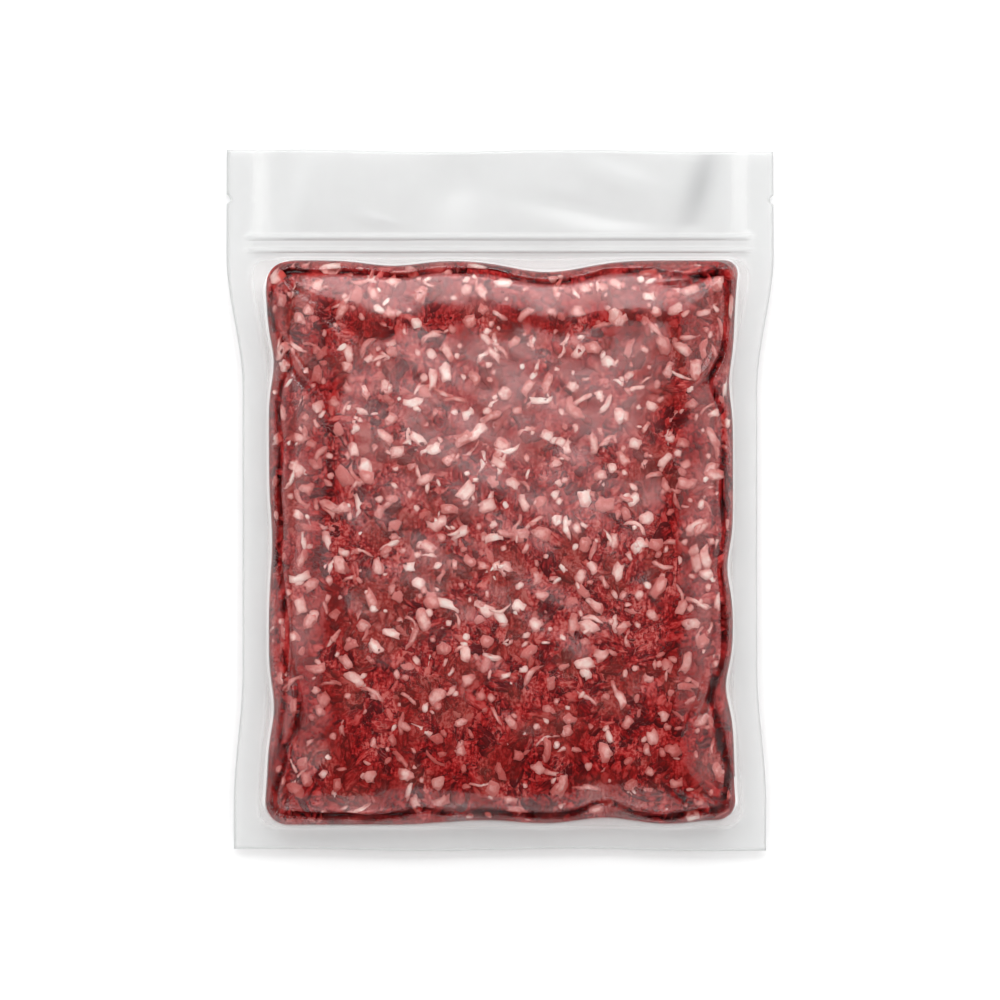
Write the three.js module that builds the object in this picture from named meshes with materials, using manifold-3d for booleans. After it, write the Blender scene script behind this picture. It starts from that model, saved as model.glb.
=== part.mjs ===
// A flat zip pouch of clear film round a pressed block of minced meat, lying on its back with
// the front up. Millimetres and +Z up: X runs across the pouch and +Y towards its zip end. The
// origin is on the surface that the pouch lies on, under the middle of the pouch's outline.
import * as THREE from 'three';
import { mergeVertices } from 'three/addons/utils/BufferGeometryUtils.js';
import Module from 'manifold-3d';

const wasm = await Module();
wasm.setup();

// Outline of the film: wide at the zip end, drawn in where the filling takes up its slack.
const FILM = {
  halfLength: 115,
  headHalfWidth: 90,
  waistHalfWidth: 84.6,
  footHalfWidth: 87.5,
  headTaper: [37, 81], // the sides widen from the waist to the head between these heights
  footTaper: [-56, -100],
  thickness: 0.8, // two films and their weld, drawn thicker than they are
  endWave: 0.4, // the cut ends wander by this much
  endWaveRate: 0.07,
};

// The pressed block inside, seen from above.
const BLOCK = {
  centreX: 0.3,
  centreY: -14,
  halfWidth: 78.2,
  halfLength: 92.6,
  cornerRadius: 11,
  sidePull: 2.1, // the long sides lie this much further in than the corners
  sideSquareness: 6,
  top: 19.6,
  seam: 5.2, // height at which the flat border leaves the block
  shoulder: 30, // the front rounds off over this distance from the outline
  heel: 9, // and the back over this one
  roundness: 2.4,
};

// A tuck in the film just inside the outline, where the front's edge roll ends.
const TUCK = { depth: 0.9, from: 3.7, width: 1.0 };

// Where the drawn film pinches the block's outline in: side, place along it, depth and reach.
const PINCHES = [
  ['top', -35, 1.8, 12],
  ['top', 15.5, 3.9, 17],
  ['left', 45, 1.8, 9],
  ['left', -14, 1.1, 14],
  ['left', -68, 1.8, 10],
  ['right', 38.5, 1.4, 9],
  ['right', -22, 1.9, 9],
  ['right', -61, 2.4, 9],
  ['bottom', -6, 1.5, 16],
  ['bottom', 34.6, 2.3, 13],
  ['bottom', 69, 1.4, 9],
];
const PINCH_FADE = 18; // how far into the block a pinch is felt

// Soft lumps in the pressed meat, as waves: height, rate across and along, phase.
const LUMPS = [
  [0.26, 0.21, 0.13, 0.4],
  [0.24, -0.16, 0.27, 1.9],
  [0.2, 0.37, -0.2, 3.1],
  [0.18, 0.09, -0.43, 5.2],
  [0.14, 0.52, 0.31, 0.9],
];
const LUMP_DRIFT = { by: 1.7, across: 0.05, along: -0.043 }; // so that the waves never repeat
const LUMPS_BEGIN = [3, 16]; // they fade in between these depths inside the outline

// The border and the head sink towards the table away from the block, in slow waves.
const BORDER = { low: 1.1, reach: 16, flutterReach: 10 };
const FLUTTER = [
  [0.28, 0.055, 0.03, 0.6],
  [0.17, 0.12, -0.05, 0],
];

// The press-to-close strip between the two films.
const ZIP = {
  from: 80.9,
  to: 87.4,
  halfLength: 81,
  baseHalf: 0.45, // half the thickness of its flat web
  ribs: [82.0, 86.3],
  ribHeight: 0.75,
  ribHalfWidth: 0.8,
  step: 9,
  gap: 0.3,
};

const NOTCH = { at: 98.7, radius: 1.3, sides: 16 };
const CUT_HEIGHT = 24; // passes through the film wherever it lies

const LINE_STEPS = {
  border: [1, 0.66, 0.33], // shares of the way from the block's outline to the film's edge
  head: [1, 0.86, 0.72, 0.58, 0.44, 0.3, 0.16],
  edge: [0, 1.1, 2.3, 3.6, 5, 7.5, 11, 15.5, 20.5, 26], // depths inside the outline
  flat: 5.2, // largest step on the flat top
  levelFrom: 12, // the back is level from this many lines in
};

const smoothstep = (a, b, t) => THREE.MathUtils.smoothstep((t - a) / (b - a), 0, 1);
const bell = (offset, reach) => Math.exp(-((offset / reach) ** 2));
const count = (from, to) => Array.from({ length: to - from }, (_, k) => from + k);

function waves(list, x, y, drift = 0) {
  return list.reduce((sum, [height, across, along, phase]) => {
    return sum + height * Math.sin(across * x + along * y + phase + drift);
  }, 0);
}

// Half the film's width at height y.
function filmHalfWidth(y) {
  const { waistHalfWidth: waist, headHalfWidth: head, footHalfWidth: foot } = FILM;
  return (
    waist +
    (head - waist) * smoothstep(...FILM.headTaper, y) +
    (foot - waist) * smoothstep(...FILM.footTaper, y)
  );
}

// How far (x, y) lies inside a rounded rectangle round the block, less than 0 outside it.
function depthInRectangle(x, y) {
  const r = BLOCK.cornerRadius;
  const qx = Math.abs(x - BLOCK.centreX) - (BLOCK.halfWidth - r);
  const qy = Math.abs(y - BLOCK.centreY) - (BLOCK.halfLength - r);
  const outside = Math.hypot(Math.max(qx, 0), Math.max(qy, 0));
  return r - outside - Math.min(Math.max(qx, qy), 0);
}

// How far the pinches on the named sides draw the outline in near (x, y).
function pinched(sides, x, y) {
  const dx = x - BLOCK.centreX;
  const dy = y - BLOCK.centreY;
  const inset = {
    left: BLOCK.halfWidth + dx,
    right: BLOCK.halfWidth - dx,
    top: BLOCK.halfLength - dy,
    bottom: BLOCK.halfLength + dy,
  };
  return PINCHES.filter(([side]) => sides.includes(side)).reduce((sum, [side, at, depth, reach]) => {
    const along = side === 'top' || side === 'bottom' ? x : y;
    return sum + depth * bell(along - at, reach) * bell(inset[side], PINCH_FADE);
  }, 0);
}

// How far the long sides and the short ends are drawn in near (x, y).
function sideDrawnIn(x, y) {
  const dx = Math.abs(x - BLOCK.centreX);
  const dy = Math.min(Math.abs(y - BLOCK.centreY) / BLOCK.halfLength, 1);
  const bowed = BLOCK.sidePull * (1 - dy ** BLOCK.sideSquareness);
  return bowed * bell(BLOCK.halfWidth - dx, PINCH_FADE) + pinched(['left', 'right'], x, y);
}

const endDrawnIn = (x, y) => pinched(['top', 'bottom'], x, y);

const blockDepth = (x, y) => depthInRectangle(x, y) - sideDrawnIn(x, y) - endDrawnIn(x, y);

// Height of the lumps at (x, y), `depth` inside the outline.
function lumps(x, y, depth) {
  const drift = LUMP_DRIFT.by * Math.sin(LUMP_DRIFT.across * x + LUMP_DRIFT.along * y);
  return waves(LUMPS, x, y, drift) * smoothstep(...LUMPS_BEGIN, depth);
}

// 0 at the outline and 1 from `reach` inwards, round as a pillow's edge.
function pillow(depth, reach) {
  const share = THREE.MathUtils.clamp(depth / reach, 0, 1);
  return Math.sqrt(1 - (1 - share) ** BLOCK.roundness);
}

// Mid height of the flat border at (x, y).
function borderHeight(x, y) {
  const out = Math.max(-blockDepth(x, y), 0);
  const sunk = BORDER.low + (BLOCK.seam - BORDER.low) * Math.exp(-out / BORDER.reach);
  return sunk + waves(FLUTTER, x, y) * (1 - Math.exp(-out / BORDER.flutterReach));
}

function frontHeight(x, y) {
  const depth = blockDepth(x, y);
  const flat = borderHeight(x, y) + FILM.thickness / 2;
  if (depth <= 0) return flat;
  const rise = BLOCK.top - BLOCK.seam - FILM.thickness / 2;
  const tuck = TUCK.depth * bell(depth - TUCK.from, TUCK.width) * Math.min(depth, 1);
  return flat + rise * pillow(depth, BLOCK.shoulder) - tuck + lumps(x, y, depth);
}

function backHeight(x, y) {
  const depth = blockDepth(x, y);
  const flat = borderHeight(x, y) - FILM.thickness / 2;
  return depth <= 0 ? flat : flat * (1 - pillow(depth, BLOCK.heel));
}

// Evenly spaced values from `from` to `to`, both left out.
function between(from, to, step) {
  const gaps = Math.ceil((to - from) / step);
  return count(1, gaps).map((k) => from + ((to - from) * k) / gaps);
}

// Grid lines across the pouch, each as [place inside the block, share of the border beyond it].
function gridLines(low, high, lowBorder, highBorder) {
  const inner = LINE_STEPS.edge;
  const last = inner[inner.length - 1];
  return [
    ...lowBorder.map((share) => [low, share]),
    ...inner.map((depth) => [low + depth, 0]),
    ...between(low + last, high - last, LINE_STEPS.flat).map((place) => [place, 0]),
    ...inner.toReversed().map((depth) => [high - depth, 0]),
    ...highBorder.toReversed().map((share) => [high, share]),
  ];
}

// The grid's vertices round the outside of columns i0 to i1 and rows j0 to j1, anticlockwise.
function loopRound(width, i0, i1, j0, j1) {
  return [
    ...count(i0, i1).map((i) => j0 * width + i),
    ...count(j0, j1).map((j) => j * width + i1),
    ...count(i0, i1).map((i) => j1 * width + i1 + i0 - i),
    ...count(j0, j1).map((j) => (j1 + j0 - j) * width + i0),
  ];
}

// A closed solid between two height functions over a grid of [x, y] rows. The part of the back
// that is `flatIn` cells or more from the grid's edge is level, and has no inner vertices.
function slabGeometry(rows, front, back, flatIn = Infinity) {
  const width = rows[0].length;
  const places = rows.flat();
  const under = places.length; // the back's vertices follow the front's
  const index = [];
  const quad = (a, b, c, d) => index.push(a, b, c, a, c, d);
  const level = (k, cells) => k >= flatIn && k < cells - flatIn;
  for (const j of count(0, rows.length - 1)) {
    for (const i of count(0, width - 1)) {
      const a = j * width + i;
      quad(a, a + 1, a + width + 1, a + width);
      if (level(i, width - 1) && level(j, rows.length - 1)) continue;
      quad(under + a, under + a + width, under + a + width + 1, under + a + 1);
    }
  }
  const rim = loopRound(width, 0, width - 1, 0, rows.length - 1);
  rim.forEach((a, k) => {
    const b = rim[(k + 1) % rim.length];
    quad(a, under + a, under + b, b);
  });
  if (Number.isFinite(flatIn)) {
    const loop = loopRound(width, flatIn, width - 1 - flatIn, flatIn, rows.length - 1 - flatIn);
    const outline = loop.map((a) => new THREE.Vector2(...places[a]));
    for (const [a, b, c] of THREE.ShapeUtils.triangulateShape(outline, [])) {
      index.push(under + loop[a], under + loop[c], under + loop[b]);
    }
  }
  const position = [
    ...places.flatMap(([x, y]) => [x, y, front(x, y)]),
    ...places.flatMap(([x, y]) => [x, y, back(x, y)]),
  ];
  const geometry = new THREE.BufferGeometry();
  geometry.setAttribute('position', new THREE.Float32BufferAttribute(position, 3));
  return geometry.setIndex(index);
}

// Rows of [x, y] over the whole film. The lines follow the block's drawn-in outline, and beyond
// it the film's own sides and its slightly wavy ends.
function filmRows() {
  const { centreX, centreY, halfWidth, halfLength } = BLOCK;
  const { border, head } = LINE_STEPS;
  const columns = gridLines(centreX - halfWidth, centreX + halfWidth, border, border);
  const levels = gridLines(centreY - halfLength, centreY + halfLength, border, head);
  return levels.map(([level, endShare]) =>
    columns.map(([place, sideShare]) => {
      const sideX = place - Math.sign(place) * sideDrawnIn(place, level);
      const endY = level - Math.sign(level) * endDrawnIn(place, level);
      const end = Math.sign(level) * FILM.halfLength + FILM.endWave * Math.sin(FILM.endWaveRate * place);
      const y = endY + endShare * (end - endY);
      return [sideX + sideShare * (Math.sign(place) * filmHalfWidth(y) - sideX), y];
    }),
  );
}

// A press-to-close strip that follows the head's waves, with its ribs on both faces.
function zipGeometry() {
  const { from, to, halfLength, ribs, ribHeight, ribHalfWidth, baseHalf, step } = ZIP;
  const ribLevels = ribs.flatMap((rib) => [-1, -0.5, 0, 0.5, 1].map((k) => rib + k * ribHalfWidth));
  const levels = [from, ...ribLevels, to];
  const places = [-halfLength, ...between(-halfLength, halfLength, step), halfLength];
  const arch = (offset) => Math.sqrt(Math.max(0, 1 - (offset / ribHalfWidth) ** 2));
  const half = (y) => baseHalf + ribHeight * Math.max(...ribs.map((rib) => arch(y - rib)));
  return slabGeometry(
    levels.map((y) => places.map((x) => [x, y])),
    (x, y) => borderHeight(x, y) + half(y),
    (x, y) => borderHeight(x, y) - half(y),
  );
}

function toSolid(geometry) {
  const bare = geometry.clone().deleteAttribute('normal').deleteAttribute('uv');
  const merged = mergeVertices(bare, 1e-3);
  return new wasm.Manifold(
    new wasm.Mesh({
      numProp: 3,
      vertProperties: merged.attributes.position.array,
      triVerts: new Uint32Array(merged.index.array),
    }),
  );
}

function toGeometry(solid) {
  const mesh = solid.getMesh();
  const geometry = new THREE.BufferGeometry();
  geometry.setAttribute('position', new THREE.BufferAttribute(mesh.vertProperties, 3));
  geometry.setIndex(new THREE.BufferAttribute(mesh.triVerts, 1));
  geometry.computeVertexNormals();
  return geometry;
}

// The slot that the strip lies in, a little wider than the strip on every side.
function zipSlot() {
  const { from, to, halfLength, gap } = ZIP;
  const slot = new THREE.BoxGeometry(2 * (halfLength + gap), to - from + 2 * gap, CUT_HEIGHT);
  return toSolid(slot.translate(0, (from + to) / 2, 0));
}

// A tear notch at each side of the head.
function tearNotch(side) {
  const cut = new THREE.CylinderGeometry(NOTCH.radius, NOTCH.radius, CUT_HEIGHT, NOTCH.sides);
  return toSolid(cut.rotateX(Math.PI / 2).translate(side * filmHalfWidth(NOTCH.at), NOTCH.at, 0));
}

function pouchGeometry() {
  const cuts = [zipSlot(), tearNotch(-1), tearNotch(1)];
  const whole = toSolid(slabGeometry(filmRows(), frontHeight, backHeight, LINE_STEPS.levelFrom));
  return toGeometry(cuts.reduce((solid, cut) => solid.subtract(cut), whole));
}

function namedMesh(name, geometry, colour, roughness) {
  const mesh = new THREE.Mesh(geometry, new THREE.MeshStandardMaterial({ color: colour, roughness }));
  mesh.name = name;
  return mesh;
}

const pack = new THREE.Group();
pack.add(namedMesh('pouch', pouchGeometry(), 0x9c3a38, 0.25));
pack.add(namedMesh('zip_strip', zipGeometry(), 0xe9ebea, 0.35));

export default pack;
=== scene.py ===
# A clear zip pouch drawn tight round pressed minced meat, lying on its back on a white floor.
# Shapes are worked out in millimetres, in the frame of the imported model, and become metres
# where a mesh is made. A pair of places says where a form begins and where it is full.
import math

import bmesh
import bpy
import numpy as np
from mathutils import Matrix, Vector


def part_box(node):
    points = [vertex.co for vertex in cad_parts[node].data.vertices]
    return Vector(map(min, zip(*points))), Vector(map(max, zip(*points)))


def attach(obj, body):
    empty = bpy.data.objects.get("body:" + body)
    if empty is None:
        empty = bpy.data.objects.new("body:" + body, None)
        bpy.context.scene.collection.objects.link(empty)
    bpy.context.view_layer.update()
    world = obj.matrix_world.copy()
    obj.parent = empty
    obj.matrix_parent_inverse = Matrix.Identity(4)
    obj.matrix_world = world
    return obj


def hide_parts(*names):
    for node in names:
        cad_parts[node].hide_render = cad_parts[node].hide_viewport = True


MM = 0.001

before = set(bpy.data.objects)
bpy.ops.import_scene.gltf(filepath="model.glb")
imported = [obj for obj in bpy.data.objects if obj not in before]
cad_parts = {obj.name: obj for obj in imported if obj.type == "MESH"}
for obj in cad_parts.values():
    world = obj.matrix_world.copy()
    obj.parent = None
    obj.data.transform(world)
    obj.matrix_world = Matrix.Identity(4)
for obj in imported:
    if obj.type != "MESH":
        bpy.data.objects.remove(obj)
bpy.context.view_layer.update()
_, pouch_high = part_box("pouch")
zip_low, zip_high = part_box("zip_strip")

# The film's outline: wide at the zip end, drawn in where the filling takes up its slack.
END_WAVE, END_WAVE_RATE = 0.4, 0.07
HALF_LENGTH = pouch_high.y / MM - END_WAVE
HEAD_HALF_WIDTH = pouch_high.x / MM
WAIST_HALF_WIDTH = HEAD_HALF_WIDTH - 5.4
FOOT_HALF_WIDTH = HEAD_HALF_WIDTH - 2.5
HEAD_TAPER = (37, 81)
FOOT_TAPER = (-56, -100)
NOTCH_AT, NOTCH_RADIUS = 98.7, 1.3

# The pressed block inside, seen from above, and its drawn-in places: side, place along it, depth,
# reach.
CENTRE_X, CENTRE_Y = 0.3, -14
HALF_WIDTH, BLOCK_HALF_LENGTH = 78.2, 92.6
HEAD_LEFT_CORNER, HEAD_RIGHT_CORNER, FOOT_CORNER = 11, 5, 8.5
SIDE_PULL, SIDE_SQUARENESS = 2.1, 6
TOP = 19.6
SEAM = 5.2
SHOULDER, HEEL, ROUNDNESS = 30, 9, 2.4
PINCHES = (
    ("top", -35, 1.8, 12), ("top", 15.5, 3.9, 17),
    ("left", 45, 1.8, 9), ("left", -14, 1.1, 14), ("left", -68, 1.8, 10),
    ("right", 38.5, 1.4, 9), ("right", -22, 1.9, 9), ("right", -61, 2.4, 9),
    ("bottom", -6, 1.5, 16), ("bottom", 34.6, 2.3, 13), ("bottom", 69, 1.4, 9),
)
PINCH_FADE = 18

# The flat border round the block, and the half thickness of the envelope there.
BORDER_LOW, BORDER_REACH, FLUTTER_REACH = 1.1, 16, 10
FILLET_HEIGHT, FILLET_REACH = 1.2, 1.1
FLUTTER = ((0.28, 0.055, 0.03, 0.6), (0.17, 0.12, -0.05, 0))
WELD_HALF, LOOSE_HALF = 0.2, 0.5
LOOSE_FROM_WELD, LOOSE_FROM_SEAL, LOOSE_FROM_ZIP = 2.5, 4, 3
SIDE_WELD, FOOT_WELD, WELD_CORNER = 7.6, 7.2, 6
WINDOW_TOP = 79.6
# Faces of the film below this depth belong to the border.
WELDED_FROM = -0.05

# The head's soft creases: middle x, middle y, heading in degrees, half length, half width, height.
HEAD_FOLDS = (
    (67.3, 103, 73, 15, 3.4, -0.4), (-41, 91.5, -19, 9, 2.4, 0.45), (-62, 103, 84, 12, 6, 0.9),
    (-14, 104, 70, 9, 7, -1.0), (24, 96, -12, 22, 4, -0.7), (38, 106, -20, 20, 5, 0.8),
)
# Painted shade where the head's film looks greyer, in the same way, with the share of shade last.
HEAD_PAINTED_SHADES = ((65.8, 103, 73, 16, 4.2, 0.45), (-41, 93, -19, 9, 1.6, 0.18))
HEAD_FROM = 80.2

# The zip's two tracks, seen through the films.
ZIP_TRACKS = (82.0, 86.3)
ZIP_HALF, ZIP_RIB, ZIP_RIB_HALF_WIDTH = 0.45, 0.75, 0.8
ZIP_RIB_COVER = 0.1
ZIP_END_FADE, ZIP_EDGE_FADE = 3, 2
FILM_CLEARANCE = 0.12
# Where the head's film comes free of the zip.
HEAD_FREE = (ZIP_TRACKS[1] + 1.5, ZIP_TRACKS[1] + 5)

# The tuck where the front's edge roll ends, and where it wanders further in (+) or out (-):
# side, place along it, extra depth, reach.
TUCK_DEPTH, TUCK_FROM, TUCK_WIDTH = 2.6, 3.5, 0.7
TUCK_FAINTEST, TUCK_STRONGEST = 0.3, 1.3
TUCK_WANDER = (
    ("top", 20, 1.2, 9), ("top", -60, 1.2, 6), ("top", 58, 1.6, 9),
    ("left", 46, 4.4, 6), ("left", 63, -2.2, 6), ("left", 20, 1.6, 8), ("left", -46, 5.0, 15),
    ("left", -84, 3.8, 6),
    ("right", 38, 4.8, 6), ("right", 8, 1.2, 9), ("right", -66, 4.4, 7), ("right", -88, -0.8, 6),
    ("bottom", -24, 1.6, 5), ("bottom", 34, 3.0, 6), ("bottom", -50, 0.6, 6),
    ("bottom", 52, -1.0, 6),
)
# Creases that run in from the roll: middle x, middle y, heading in degrees, half length, depth.
FOLDS = (
    (-67.4, 69.4, -41, 8, 0.8), (-66.5, 41, -58, 8, 1.3), (65.1, 72, 24, 11, 1.0),
    (69.1, 42, 60, 7, 1.3), (67.8, -64.5, 72, 7, 1.7), (72.0, -82, -69, 9, 1.2),
    (61.8, -98.7, -35, 6, 0.9), (-66, -72, 78, 9, 1.2),
)
FOLD_WIDTH, FOLD_CURVE = 0.8, 0.02
RIDGE_SHARE, RIDGE_AWAY, RIDGE_WIDTH = 0.9, 1.8, 1.3
# Half width of the dark juice and painted shade that fill the tuck and the creases.
CREASE_WIDTH = 0.6

# The front's soft swells, as height, size and seed, and how unevenly its shoulder is rounded.
SWELLS = ((0.15, 19, 21), (0.08, 7, 22))
SWELLS_FROM, CREASES_FROM = (3, 16), (0.5, 3)
SHOULDER_UNEVEN = 0.13

# Distances between the film's grid lines: in the block's edge, in its middle, at the zip, in the
# head, and as shares of the border.
FINE_STEP, COARSE_STEP, FINE_REACH = 0.5, 1.25, 12
ZIP_STEP, HEAD_STEP, ZIP_FINE_PAST = 0.22, 1.1, 2
BORDER_STEP, BORDER_STEP_TO_HEAD = 0.1, 0.2

# How much of the view the film takes: over open meat, more on the roll, less where juice wets it,
# and in the creases, where their painted shade shows.
COVER_OPEN, COVER_ON_ROLL, COVER_LOST_TO_JUICE, COVER_IN_CREASES = 0.5, 0.35, 0.38, 0.42
COVER_LEAST, COVER_MOST = 0.1, 0.9
ROLL_AT, ROLL_REACH = 1.0, 1.3

# The painted white highlight close to the block, and the share it loses at the foot and the head.
RIM_REACH = 1.8
RIM_LOST_AT_FOOT, RIM_FOOT = 0.7, (-98, -104)
RIM_LOST_AT_HEAD, RIM_HEAD = 0.5, (72, 78)

# The clearer strip beside each seal of the head, and the clearer line between the zip's tracks.
HEAD_CLEARNESS, SEAL_MARGIN = 0.35, 0.8
STRIP_WIDTH, STRIP_FROM = (6.5, 4), (86, 90)
ZIP_MIDDLE, ZIP_MIDDLE_REACH = 84.2, 1.2

# The pieces of mince, in millimetres: distance from one to the next, length, width, thickness and
# how deep under the film they lie. Bend is a turn for each millimetre, uneven and lobes are shares
# of the size, a skew over 1 makes short pieces common, and foot_share is how many stay at the foot.
LEAN_STRANDS = dict(
    spacing=3.5, length=(4, 12), width=(2.6, 5.0), thick=(2.2, 3.4), sink=(0.26, 1.0),
    bend=0.12, uneven=0.3, lobes=0, skew=1.3, foot_share=1,
)
BACK_STRANDS = dict(
    spacing=5.2, length=(6, 14), width=(3.8, 6.6), thick=(2.2, 3.0), sink=(0.18, 0.8),
    bend=0.1, uneven=0.25, lobes=0, skew=1, foot_share=1,
)
FAT_BITS = dict(
    spacing=9.2, length=(3.2, 8.2), width=(2.5, 4.6), thick=(1.8, 2.6), sink=(0.1, 0.3),
    bend=0.12, uneven=0.2, lobes=0.24, skew=1.4, foot_share=0.6,
)
FAT_CRUMBS = dict(
    spacing=7.2, length=(1.4, 3.6), width=(1.1, 2.6), thick=(1.0, 2.0), sink=(0.12, 0.5),
    bend=0.1, uneven=0.2, lobes=0.2, skew=1, foot_share=0.7,
)
FAT_SLIVERS = dict(
    spacing=11.5, length=(3.5, 8.5), width=(1.2, 2.2), thick=(1.2, 1.8), sink=(0.12, 0.5),
    bend=0.22, uneven=0.3, lobes=0.3, skew=1, foot_share=0.6,
)
BACK_FAT = dict(
    spacing=7.4, length=(2.5, 7), width=(1.8, 4.2), thick=(1.4, 2.4), sink=(0.14, 0.7),
    bend=0.12, uneven=0.2, lobes=0.2, skew=1.4, foot_share=1,
)
# How much the pieces follow the same eddies, from 0 to 1, how far the eddies turn, and how far off
# their line the pieces stray.
SWIRL, SWIRL_REACH, SWIRL_TURN, STRAY = 0.45, 34, 2.2, 1.1
# How far inside the outline the pieces lie, which share of their thickness is sunk in, and where
# they thin out towards the foot.
PIECE_INSET, SUNK_SHARE, THINNING = 1.2, 0.72, (-95, -25)
# How light the pieces are: the middle, the swing over the block and from piece to piece, and how
# much lighter they are on the roll, a painted highlight.
TONE_MIDDLE, TONE_SWING, TONE_SPREAD, PAINTED_HIGHLIGHT_ON_ROLL = 0.5, 0.3, 0.4, 0.3
# How far pressed pieces stay inside the outline, and the least slope that they are moved along.
OUTLINE_GAP, GENTLEST_SLOPE = 0.15, 0.5

# The core under the pieces.
CORE_GRID = (90, 106)
CORE_GAP, CORE_INSET, CORE_CORNER = 0.8, 0.45, 8
CORE_LUMPS, CORE_THINNEST = 0.3, 0.3
CORE_TONE, CORE_TONE_SWING, CORE_GRAIN = 0.55, 0.2, 3

# Where the film lies dry on the meat, drawn lighter there, partly a painted haze of reflected
# light:
# on the shoulder along the sides and the head, and in the upper middle.
DRY_UNEVEN = 1.5
DRY_SIDES, DRY_SIDES_ALONG, DRY_SIDES_FROM = 0.5, (66, 48), (50, 60)
DRY_HEAD_FROM, DRY_HEAD_WITHIN = (68, 76), (66, 56)
DRY_SHOULDER_FROM, DRY_SHOULDER_TO = (3.5, 6), (20, 14)
DRY_X, DRY_Y, DRY_REACH_X, DRY_REACH_Y, DRY_MIDDLE_FROM = 8, 30, 52, 34, (22, 30)

# Where dark juice gathers: in the tuck and the creases, outside the tuck, in a band inside the
# shoulder, at the foot and in the corners, each with its share of full darkness. In the tuck, the
# creases and the band the darkness is also painted shade.
JUICE_AND_SHADE_WIDTH, JUICE_AND_SHADE_IN_FOLDS = 0.9, 0.8
JUICE_OUTER, JUICE_OUTER_WIDTH = 0.4, 1.8
JUICE_AND_SHADE_BAND, JUICE_AND_SHADE_BAND_AT, JUICE_AND_SHADE_BAND_REACH = 0.74, 20, 7.5
JUICE_FOOT, JUICE_FOOT_FROM = 0.46, (-25, -80)
JUICE_CORNER, JUICE_CORNER_ACROSS, JUICE_CORNER_ALONG = 0.35, (56, 72), (68, 86)
JUICE_MOST = 0.56

SEED = 7


def smoothstep(a, b, t):
    s = np.clip((t - a) / (b - a), 0, 1)
    return s * s * (3 - 2 * s)


def bell(offset, reach):
    return np.exp(-((offset / reach) ** 2))


def waves(rows, x, y):
    return sum(
        height * np.sin(across * x + along * y + phase) for height, across, along, phase in rows
    )


def rough(x, y, size, seed, count=9):
    """Smooth uneven ups and downs from about -1 to 1, `size` millimetres from one to the next."""
    draw = np.random.default_rng(seed)
    total = 0
    for _ in range(count):
        turn, phase = draw.uniform(0, 2 * math.pi, 2)
        rate = math.pi / size * draw.uniform(0.6, 1.4)
        total = total + np.sin(rate * (math.cos(turn) * x + math.sin(turn) * y) + phase)
    return total / math.sqrt(count)


def turned(x, y, heading):
    """Distances along and across a line of this heading, in degrees, through (0, 0)."""
    turn = math.radians(heading)
    return x * math.cos(turn) + y * math.sin(turn), y * math.cos(turn) - x * math.sin(turn)


def streaks(rows, x, y):
    """Sum of long soft streaks: middle x, middle y, heading, half length, half width, amount."""
    total = 0
    for at_x, at_y, heading, half_length, half_width, amount in rows:
        along, across = turned(x - at_x, y - at_y, heading)
        total = total + amount * bell(along, half_length) * bell(across, half_width)
    return total * smoothstep(*HEAD_FREE, y)


def film_half_width(y):
    head = (HEAD_HALF_WIDTH - WAIST_HALF_WIDTH) * smoothstep(*HEAD_TAPER, y)
    foot = (FOOT_HALF_WIDTH - WAIST_HALF_WIDTH) * smoothstep(*FOOT_TAPER, y)
    return WAIST_HALF_WIDTH + head + foot


def rounded_inset(left_over_x, left_over_y, radius):
    """Depth inside a rectangle with round corners, from the depths inside its sides."""
    qx, qy = radius - left_over_x, radius - left_over_y
    outside = np.hypot(np.maximum(qx, 0), np.maximum(qy, 0))
    return radius - outside - np.minimum(np.maximum(qx, qy), 0)


def along_sides(rows, x, y, sides=("left", "right", "top", "bottom")):
    """Sum of what the rows (side, place along it, amount, reach) give at (x, y)."""
    dx, dy = x - CENTRE_X, y - CENTRE_Y
    inset = {
        "left": HALF_WIDTH + dx, "right": HALF_WIDTH - dx,
        "top": BLOCK_HALF_LENGTH - dy, "bottom": BLOCK_HALF_LENGTH + dy,
    }
    total = 0
    for side, at, depth, reach in rows:
        if side in sides:
            along = x if side in ("top", "bottom") else y
            total = total + depth * bell(along - at, reach) * bell(inset[side], PINCH_FADE)
    return total


def side_drawn_in(x, y):
    share = np.minimum(np.abs(y - CENTRE_Y) / BLOCK_HALF_LENGTH, 1)
    bowed = SIDE_PULL * (1 - share ** SIDE_SQUARENESS)
    near = bell(HALF_WIDTH - np.abs(x - CENTRE_X), PINCH_FADE)
    return bowed * near + along_sides(PINCHES, x, y, ("left", "right"))


def end_drawn_in(x, y):
    return along_sides(PINCHES, x, y, ("top", "bottom"))


def corner_radius(x, y):
    head = HEAD_LEFT_CORNER + (HEAD_RIGHT_CORNER - HEAD_LEFT_CORNER) * smoothstep(-40, 40, x)
    return head + (FOOT_CORNER - head) * smoothstep(30, -60, y)


def block_depth(x, y):
    """How far (x, y) lies inside the block's outline, below 0 outside it."""
    inside_x = HALF_WIDTH - np.abs(x - CENTRE_X)
    inside_y = BLOCK_HALF_LENGTH - np.abs(y - CENTRE_Y)
    inset = rounded_inset(inside_x, inside_y, corner_radius(x, y))
    return inset - side_drawn_in(x, y) - end_drawn_in(x, y)


def on_round_corners(x, y):
    """Points of the block's rectangle, moved so that its sides follow the rounded corners."""
    qx = np.maximum(corner_radius(x, y) - HALF_WIDTH + np.abs(x - CENTRE_X), 0)
    qy = np.maximum(corner_radius(x, y) - BLOCK_HALF_LENGTH + np.abs(y - CENTRE_Y), 0)
    short = 1 - np.maximum(qx, qy) / np.maximum(np.hypot(qx, qy), 1e-9)
    return x - np.sign(x - CENTRE_X) * qx * short, y - np.sign(y - CENTRE_Y) * qy * short


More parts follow.
